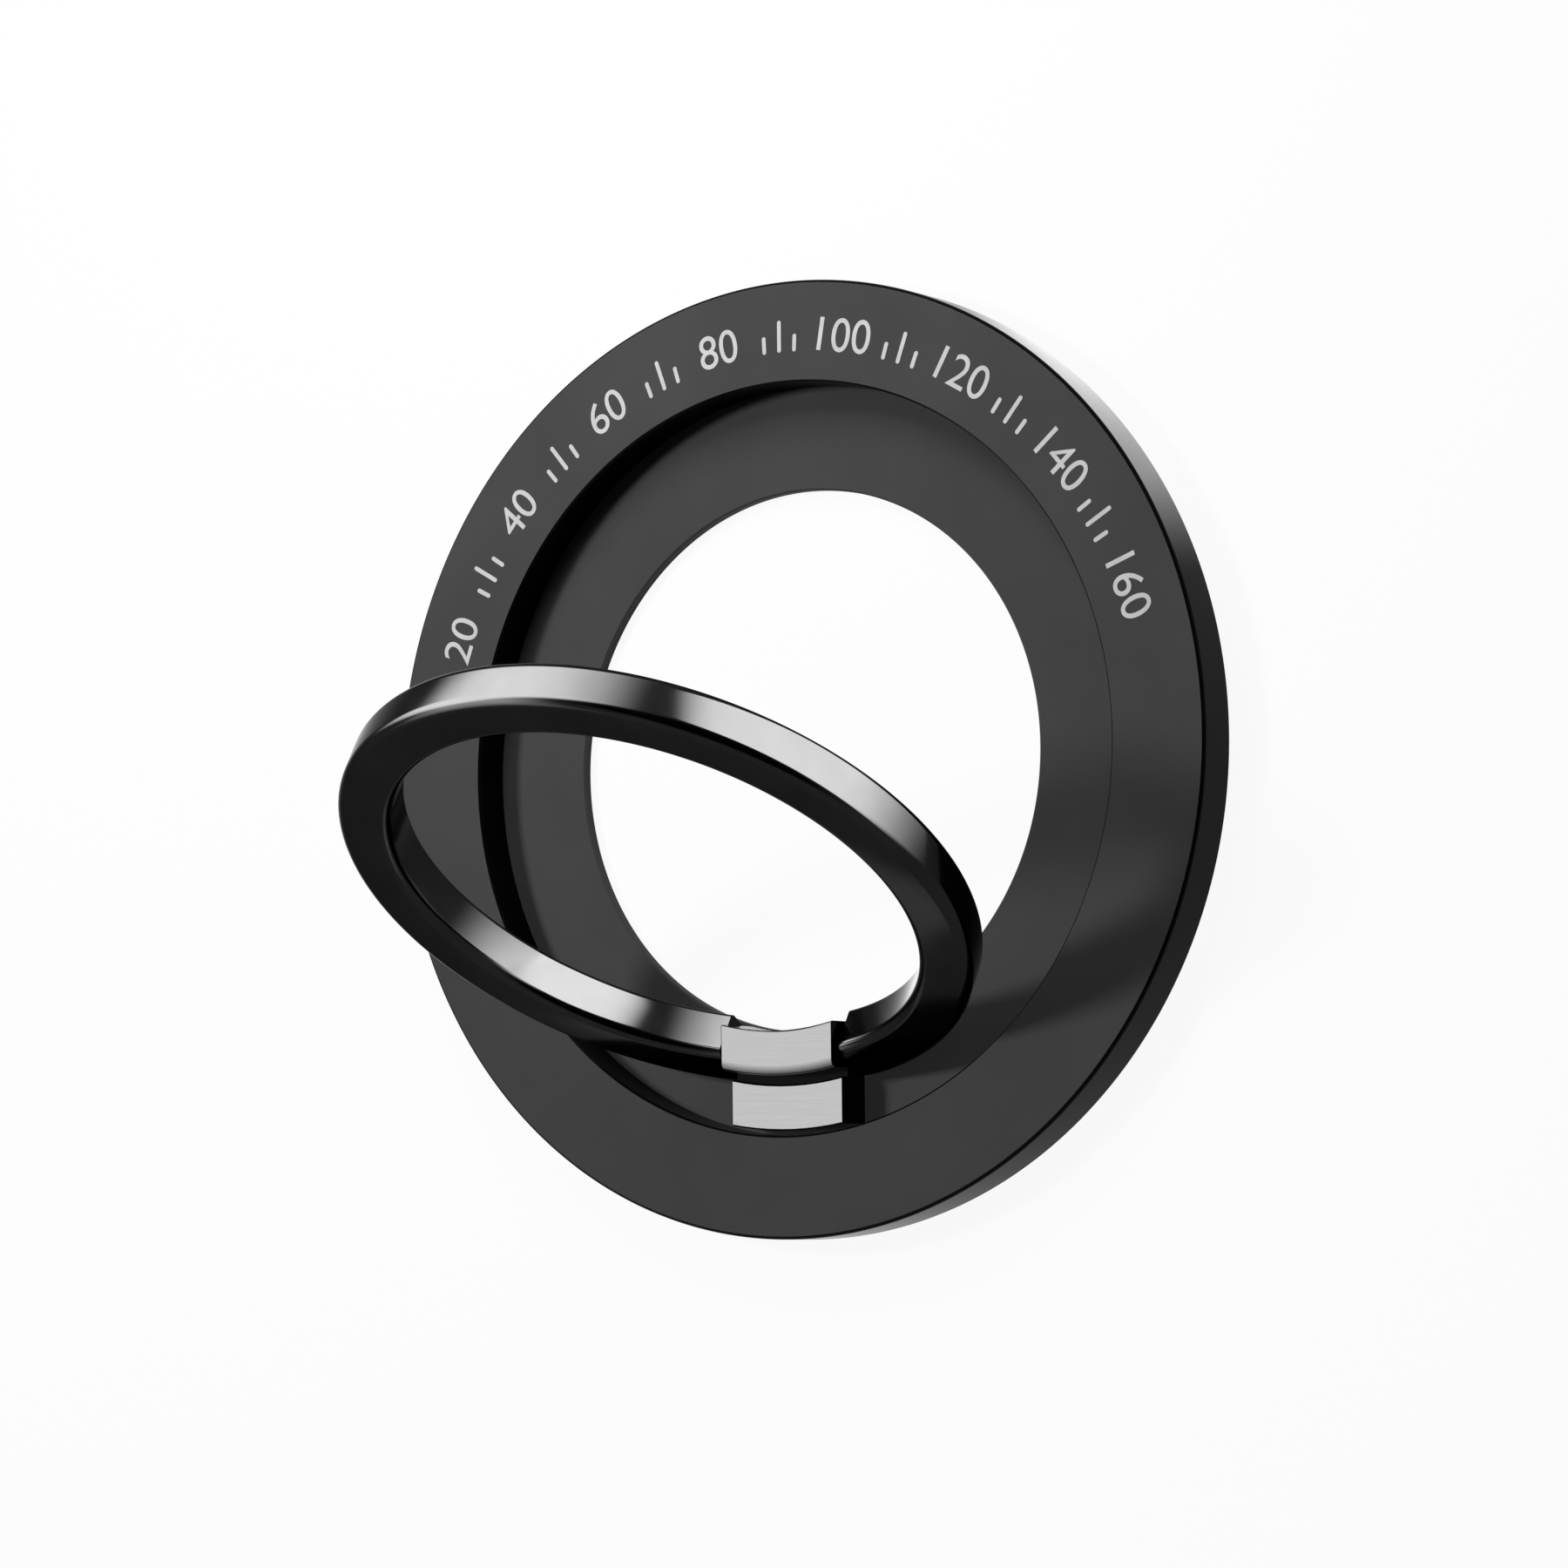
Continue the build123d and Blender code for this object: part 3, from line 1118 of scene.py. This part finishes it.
@dataclass(frozen=True)
class Lamp:
    """Flat lamp from one edge to another, in millimetres, that faces a point."""

    name: str
    start: Point
    end: Point
    width: float
    faces: Point
    radiance: float
    reach: Reach
    end_fades: tuple[float, float] = (0.05, 0.05)
    side_fades: tuple[float, float] = (0.05, 0.05)
    lights: tuple[str, ...] = ()
    shades: tuple[str, ...] = ()

    def faded(self, tree: Tree, place: Socket, fades: tuple[float, float]) -> list[Socket]:
        """Brightness that falls off towards both edges of the lamp.

        Args:
            tree: the lamp's node tree.
            place: position from one edge to the other, from zero to one.
            fades: share of the lamp that fades at each edge.

        Returns:
            Two sockets, each one in the middle and zero at its edge.
        """
        ramps = [
            {"From Min": 0.0, "From Max": fades[0], "To Min": 0.0, "To Max": 1.0},
            {"From Min": 1.0 - fades[1], "From Max": 1.0, "To Min": 1.0, "To Max": 0.0},
        ]
        smooth = {"interpolation_type": "SMOOTHSTEP"}
        return [
            add_node(tree, "ShaderNodeMapRange", smooth, ramp, {"Value": place}).outputs["Result"]
            for ramp in ramps
        ]

    def soften(self, tree: Tree) -> None:
        """Lets the lamp fade towards its ends and sides.

        Args:
            tree: the lamp's node tree.
        """
        place = add_node(tree, "ShaderNodeNewGeometry").outputs["Parametric"]
        axes = add_node(tree, "ShaderNodeSeparateXYZ", links={"Vector": place}).outputs
        glows = self.faded(tree, axes["Y"], self.end_fades) + self.faded(tree, axes["X"], self.side_fades)
        total = glows[0]
        for glow in glows[1:]:
            total = add_node(
                tree, "ShaderNodeMath", {"operation": "MULTIPLY"}, links={0: total, 1: glow}
            ).outputs[0]
        tree.links.new(total, tree.nodes["Emission"].inputs["Strength"])

    def hang(self) -> Piece:
        """Puts the lamp in the studio.

        Returns:
            The lamp.
        """
        start, end, target = metres(self.start), metres(self.end), metres(self.faces)
        centre = (start + end) / 2
        along = (end - start).normalized()
        away = centre - target
        away = (away - away.dot(along) * along).normalized()
        data = bpy.data.lights.new(self.name, "AREA")
        data.shape = "RECTANGLE"
        data.size = self.width * MM
        data.size_y = (end - start).length
        # A flat lamp gives off pi times its radiance from each square metre.
        data.energy = math.pi * data.size * data.size_y * self.radiance
        data.use_nodes = True
        self.soften(data.node_tree)
        lamp = bpy.data.objects.new(self.name, data)
        turn = Matrix((along.cross(away), along, away)).transposed().to_4x4()
        lamp.matrix_world = Matrix.Translation(centre) @ turn
        lamp.visible_camera = False
        lamp.visible_diffuse = self.reach is Reach.MATTE
        lamp.visible_glossy = self.reach is Reach.MIRRORED
        bpy.context.scene.collection.objects.link(lamp)
        if self.lights:
            lamp.light_linking.receiver_collection = gather(self.name + "_lights", self.lights)
        if self.shades:
            lamp.light_linking.blocker_collection = gather(self.name + "_shades", self.shades)
        return lamp


@dataclass
class Studio:
    """Pale floor, soft light and the photograph's camera."""

    floor_side: float = 3000.0
    floor_colour: str = "#f0f0f0"
    floor_glow: float = 0.93
    sky_light: float = 0.03
    dark_side: Point = (0.548, -0.086, 0.832)
    dark_inner_deg: float = 33.0
    dark_outer_deg: float = 48.0
    dark_share: float = 0.04
    lens: float = 129.25
    aim: Point = (0.02, -1.57, 3.2)
    eye: Point = (179.63, -29.80, 275.65)
    roll_deg: float = -0.58
    nearest: float = 10.0
    farthest: float = 10000.0

    def lamps(self) -> list[Lamp]:
        """The lamps: a key and a fill for dull surfaces, and the rest for polished ones to mirror."""
        rim = (0.0, 0.0, 3.0)
        matte, mirrored = Reach.MATTE, Reach.MIRRORED
        ring, casting = ("plated_ring",), ("base_casting",)
        return [
            Lamp(
                "key", start=(-145.0, 16.0, 235.0), end=(-145.0, 64.0, 235.0), width=48.0, faces=rim,
                radiance=72.8, reach=matte,
            ),
            Lamp(
                "fill", start=(-35.0, 90.0, 75.0), end=(25.0, 90.0, 75.0), width=60.0, faces=rim,
                radiance=7.3, reach=matte, shades=casting,
            ),
            Lamp(
                "softbox", start=(76.8, 212.3, 158.4), end=(-337.6, -16.2, 158.4), width=329.0,
                faces=(-86.6, -82.2, 69.7), radiance=52.0, reach=mirrored,
                end_fades=(0.31, 0.38), side_fades=(0.41, 0.2), lights=ring,
            ),
            Lamp(
                "left_panel", start=(-317.0, -54.3, 168.8), end=(-31.0, -54.3, 168.8), width=300.0,
                faces=(-174.0, 17.7, 40.8), radiance=17.0, reach=mirrored,
                end_fades=(0.64, 0.23), side_fades=(0.36, 0.6), lights=ring,
            ),
            Lamp(
                "right_strip", start=(34.0, -8.0, 0.3), end=(89.0, 162.0, 112.4), width=60.0,
                faces=(13.0, -2.0, 25.0), radiance=52.0, reach=mirrored,
                end_fades=(0.11, 0.64), side_fades=(0.1, 0.1), lights=ring,
            ),
            Lamp(
                "inner_card", start=(-0.9, -6.4, 1.4), end=(1.22, -3.71, 7.35), width=8.0,
                faces=(-15.0, -10.7, 11.9), radiance=58.0, reach=mirrored,
                end_fades=(1.4, 0.01), side_fades=(0.1, 0.1), lights=ring,
            ),
            Lamp(
                "front_card", start=(-25.0, -27.0, 0.05), end=(-5.0, -62.0, 0.05), width=22.0,
                faces=(-15.0, -44.0, 30.0), radiance=2.4, reach=mirrored,
                end_fades=(0.3, 0.3), side_fades=(0.3, 0.3), lights=ring,
            ),
            Lamp(
                "hole_card", start=(-8.0, -10.0, 0.05), end=(8.0, -12.5, 0.05), width=6.0,
                faces=(0.0, -11.0, 9.0), radiance=2.0, reach=mirrored,
                end_fades=(0.3, 0.3), side_fades=(0.3, 0.3), lights=ring,
            ),
            Lamp(
                "back_card", start=(28.8, 10.8, 0.05), end=(11.7, 28.7, 0.05), width=6.0,
                faces=(20.0, 20.0, 9.0), radiance=5.5, reach=mirrored,
                end_fades=(0.3, 0.5), side_fades=(0.1, 0.1), lights=casting,
            ),
        ]

    def floor(self) -> Piece:
        """Lays the floor, which shows white and keeps a faint shadow.

        Returns:
            The floor.
        """
        clear_selection()
        bpy.ops.mesh.primitive_plane_add(size=self.floor_side * MM)
        floor = bpy.context.object
        floor.name = "floor"
        material = bpy.data.materials.new("white_paper")
        material.use_nodes = True
        tree = material.node_tree
        tree.nodes.clear()
        share = add_node(
            tree, "ShaderNodeMath", {"operation": "MULTIPLY"}, {1: self.floor_glow}, {0: seen_mask(tree)}
        )
        matte = add_node(tree, "ShaderNodeBsdfDiffuse", values={"Color": srgb(self.floor_colour)})
        glow = add_node(tree, "ShaderNodeEmission", values={"Strength": 1.0})
        links = {0: share.outputs[0], 1: matte.outputs[0], 2: glow.outputs[0]}
        mixed = add_node(tree, "ShaderNodeMixShader", links=links)
        add_node(tree, "ShaderNodeOutputMaterial", links={"Surface": mixed.outputs[0]})
        coat(floor, material)
        return floor

    def room(self, tree: Tree) -> Socket:
        """Brightness of the surroundings, white but for the dark side behind the camera.

        Args:
            tree: the world's node tree.

        Returns:
            A socket that is one where the surroundings are white.
        """
        way = add_node(tree, "ShaderNodeTexCoord").outputs["Generated"]
        near = add_node(
            tree, "ShaderNodeVectorMath", {"operation": "DOT_PRODUCT"}, {1: self.dark_side}, {0: way}
        )
        ramp = {
            "From Min": math.cos(math.radians(self.dark_outer_deg)),
            "From Max": math.cos(math.radians(self.dark_inner_deg)),
            "To Min": 1.0,
            "To Max": self.dark_share,
        }
        mirrored = add_node(tree, "ShaderNodeMapRange", values=ramp, links={"Value": near.outputs["Value"]})
        seen = add_node(tree, "ShaderNodeLightPath").outputs["Is Camera Ray"]
        links = {0: mirrored.outputs["Result"], 1: seen}
        return add_node(tree, "ShaderNodeMath", {"operation": "MAXIMUM"}, links=links).outputs[0]

    def sky(self) -> None:
        """Makes the surroundings white to look at, and a dim fill as light."""
        world = bpy.data.worlds.new("studio")
        world.use_nodes = True
        tree = world.node_tree
        background = tree.nodes["Background"]
        background.inputs["Color"].default_value = (1.0, 1.0, 1.0, 1.0)
        strength = add_node(
            tree,
            "ShaderNodeMapRange",
            values={"To Min": self.sky_light},
            links={"Value": seen_mask(tree), "To Max": self.room(tree)},
        )
        tree.links.new(strength.outputs["Result"], background.inputs["Strength"])
        bpy.context.scene.world = world

    def camera(self) -> Piece:
        """Sets the camera where the photograph was taken from.

        Returns:
            The camera.
        """
        data = bpy.data.cameras.new("photo_camera")
        data.lens = self.lens
        data.sensor_width = PHOTO_SENSOR_MM
        data.clip_start = self.nearest * MM
        data.clip_end = self.farthest * MM
        eye, aim = metres(self.eye), metres(self.aim)
        back = (eye - aim).normalized()
        right = Vector((0.0, 1.0, 0.0)).cross(back).normalized()
        up = back.cross(right)
        turn = Matrix((right, up, back)).transposed().to_4x4()
        camera = bpy.data.objects.new("photo_camera", data)
        roll = Matrix.Rotation(math.radians(self.roll_deg), 4, "Z")
        camera.matrix_world = Matrix.Translation(eye) @ turn @ roll
        bpy.context.scene.collection.objects.link(camera)
        bpy.context.scene.camera = camera
        return camera

    def build(self) -> None:
        """Sets up the floor, the light and the camera."""
        bpy.context.scene.view_settings.view_transform = "Standard"
        self.floor()
        self.sky()
        for lamp in self.lamps():
            lamp.hang()
            log.info("lamp %s", lamp.name)
        self.camera()


def main() -> None:
    """Dresses the solids, adds the new pieces and sets up the studio."""
    logging.basicConfig(level=logging.INFO, format="%(name)s: %(message)s")
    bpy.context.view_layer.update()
    nodes = frame["nodes"]
    base = Base()
    for assembly in (base, Hinge()):
        for name in assembly.dress(nodes):
            log.info("dressed %s", name)
    for part in (base, BackPad(), RimScale(), FingerRing()):
        piece = part.build()
        log.info("modelled %s, %d faces", piece.name, len(piece.data.polygons))
    Studio().build()


if __name__ == "__main__":
    main()
